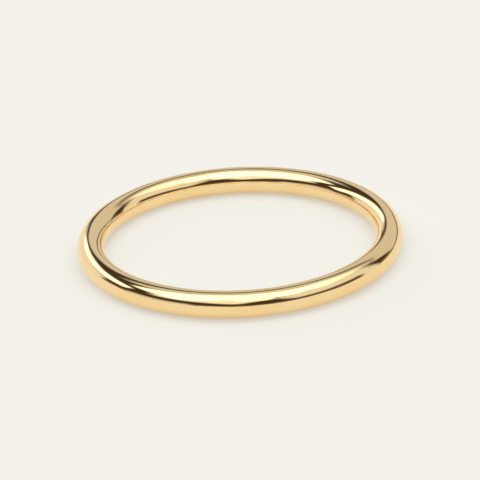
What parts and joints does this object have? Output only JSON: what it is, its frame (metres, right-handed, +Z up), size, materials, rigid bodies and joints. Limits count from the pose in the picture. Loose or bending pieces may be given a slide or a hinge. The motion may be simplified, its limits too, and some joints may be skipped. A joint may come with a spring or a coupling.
{
  "type": "stackable ring",
  "caption": "Plain slim finger ring of polished yellow gold: a single round wire closed in a circle, worn alone or stacked with other thin rings.",
  "frame": {"origin": "on the surface that the ring lies on, straight below the centre of the finger hole", "axes": "+Z up along the finger hole's axis; the ring is the same all round it, so +X and +Y are any two level directions"},
  "size_m": [0.0208, 0.0208, 0.0018],
  "materials": {
    "yellow_gold": null
  },
  "bodies": {
    "root": {"band": "yellow_gold"}
  },
  "joints": []
}
